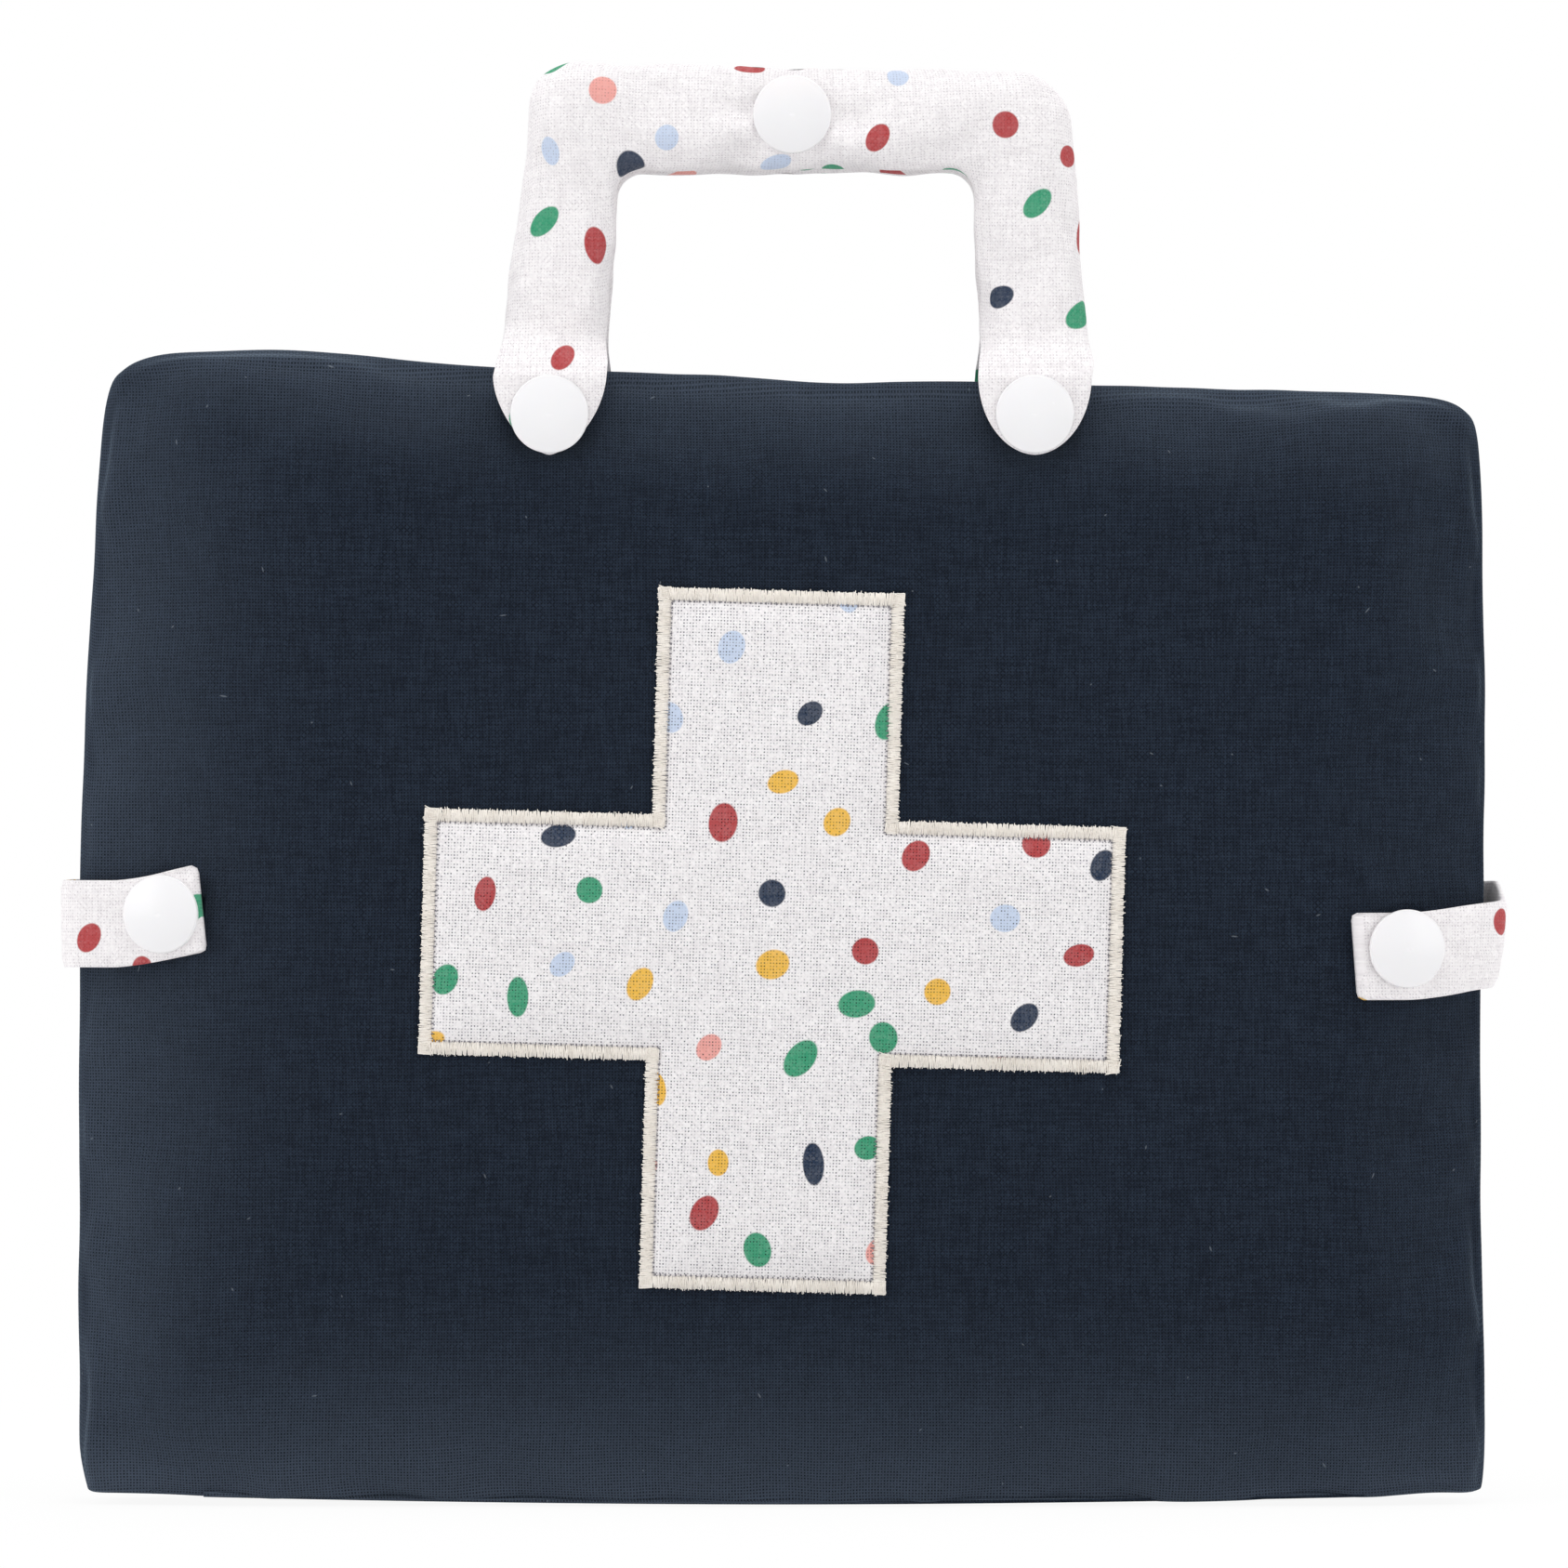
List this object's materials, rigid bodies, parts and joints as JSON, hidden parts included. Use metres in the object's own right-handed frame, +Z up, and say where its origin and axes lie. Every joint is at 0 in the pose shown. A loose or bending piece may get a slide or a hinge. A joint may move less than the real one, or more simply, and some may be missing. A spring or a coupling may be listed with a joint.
{
  "type": "toy first aid bag",
  "caption": "Soft padded cotton toy first aid bag with a cross on the front, side straps and paired stuffed handles that snap shut, folding open flat at its base.",
  "frame": {"origin": "on the floor under the middle of the bag", "axes": "+Z up, front face towards -Y, +X to the right seen from the front"},
  "size_m": [0.2304, 0.0458, 0.2293],
  "materials": {
    "navy_cotton": "plain-weave navy cotton, matt",
    "printed_cotton": "white plain-weave cotton with a scattered confetti print",
    "lining_cotton": "plain natural cotton",
    "polyester_wadding": "bonded polyester fibre",
    "satin_thread": "satin-stitched ivory thread",
    "white_snap_plastic": "moulded glossy white resin"
  },
  "bodies": {
    "base": {"base_cover": "navy_cotton", "base_wadding": "polyester_wadding", "base_lining": "lining_cotton"},
    "front_panel": {"front_cover": "navy_cotton", "front_wadding": "polyester_wadding", "front_lining": "lining_cotton", "cross_patch": "printed_cotton", "cross_border": "satin_thread", "front_left_foot": "printed_cotton", "front_right_foot": "printed_cotton", "front_left_foot_cap": "white_snap_plastic", "front_left_foot_socket": "white_snap_plastic", "front_left_foot_stud": "white_snap_plastic", "front_left_foot_inner_cap": "white_snap_plastic", "front_right_foot_cap": "white_snap_plastic", "front_right_foot_socket": "white_snap_plastic", "front_right_foot_stud": "white_snap_plastic", "front_right_foot_inner_cap": "white_snap_plastic", "left_strap_stud": "white_snap_plastic", "left_strap_inner_cap": "white_snap_plastic", "right_strap_stud": "white_snap_plastic", "right_strap_inner_cap": "white_snap_plastic"},
    "back_panel": {"back_cover": "navy_cotton", "back_wadding": "polyester_wadding", "back_lining": "lining_cotton", "tool_pocket": "printed_cotton", "back_left_foot": "printed_cotton", "back_right_foot": "printed_cotton", "back_left_foot_cap": "white_snap_plastic", "back_left_foot_socket": "white_snap_plastic", "back_left_foot_stud": "white_snap_plastic", "back_left_foot_inner_cap": "white_snap_plastic", "back_right_foot_cap": "white_snap_plastic", "back_right_foot_socket": "white_snap_plastic", "back_right_foot_stud": "white_snap_plastic", "back_right_foot_inner_cap": "white_snap_plastic"},
    "front_handle": {"front_handle_cover": "printed_cotton", "front_handle_filling": "polyester_wadding", "front_handle_cap": "white_snap_plastic", "front_handle_socket": "white_snap_plastic"},
    "back_handle": {"back_handle_cover": "printed_cotton", "back_handle_filling": "polyester_wadding", "back_handle_cap": "white_snap_plastic", "back_handle_stud": "white_snap_plastic"},
    "left_strap_side": {"left_strap_side": "printed_cotton"},
    "left_strap_tongue": {"left_strap_tongue": "printed_cotton", "left_strap_cap": "white_snap_plastic", "left_strap_socket": "white_snap_plastic"},
    "right_strap_side": {"right_strap_side": "printed_cotton"},
    "right_strap_tongue": {"right_strap_tongue": "printed_cotton", "right_strap_cap": "white_snap_plastic", "right_strap_socket": "white_snap_plastic"}
  },
  "joints": [
    {"name": "front_fold", "type": "hinge", "parent": "base", "child": "front_panel", "pos_m": [0, -0.019, 0], "axis": [1, 0, 0], "range_deg": [0, 88]},
    {"name": "back_fold", "type": "hinge", "parent": "base", "child": "back_panel", "pos_m": [0, 0.019, 0], "axis": [-1, 0, 0], "range_deg": [0, 88]},
    {"name": "front_handle_tilt", "type": "hinge", "parent": "front_panel", "child": "front_handle", "pos_m": [0, -0.0201, 0.1796], "axis": [1, 0, 0], "range_deg": [0, 165]},
    {"name": "back_handle_tilt", "type": "hinge", "parent": "back_panel", "child": "back_handle", "pos_m": [0, 0.0201, 0.1796], "axis": [-1, 0, 0], "range_deg": [0, 165]},
    {"name": "left_strap_swing", "type": "hinge", "parent": "back_panel", "child": "left_strap_side", "pos_m": [-0.1131, 0.00808, 0.09394], "axis": [0, 0, -1], "range_deg": [0, 120]},
    {"name": "left_strap_peel", "type": "hinge", "parent": "left_strap_side", "child": "left_strap_tongue", "pos_m": [-0.1144, -0.01391, 0.09394], "axis": [0, 0, -1], "range_deg": [0, 105]},
    {"name": "right_strap_swing", "type": "hinge", "parent": "back_panel", "child": "right_strap_side", "pos_m": [0.1131, 0.00808, 0.08846], "axis": [0, 0, 1], "range_deg": [0, 120]},
    {"name": "right_strap_peel", "type": "hinge", "parent": "right_strap_side", "child": "right_strap_tongue", "pos_m": [0.1144, -0.01391, 0.08846], "axis": [0, 0, 1], "range_deg": [0, 105]}
  ]
}
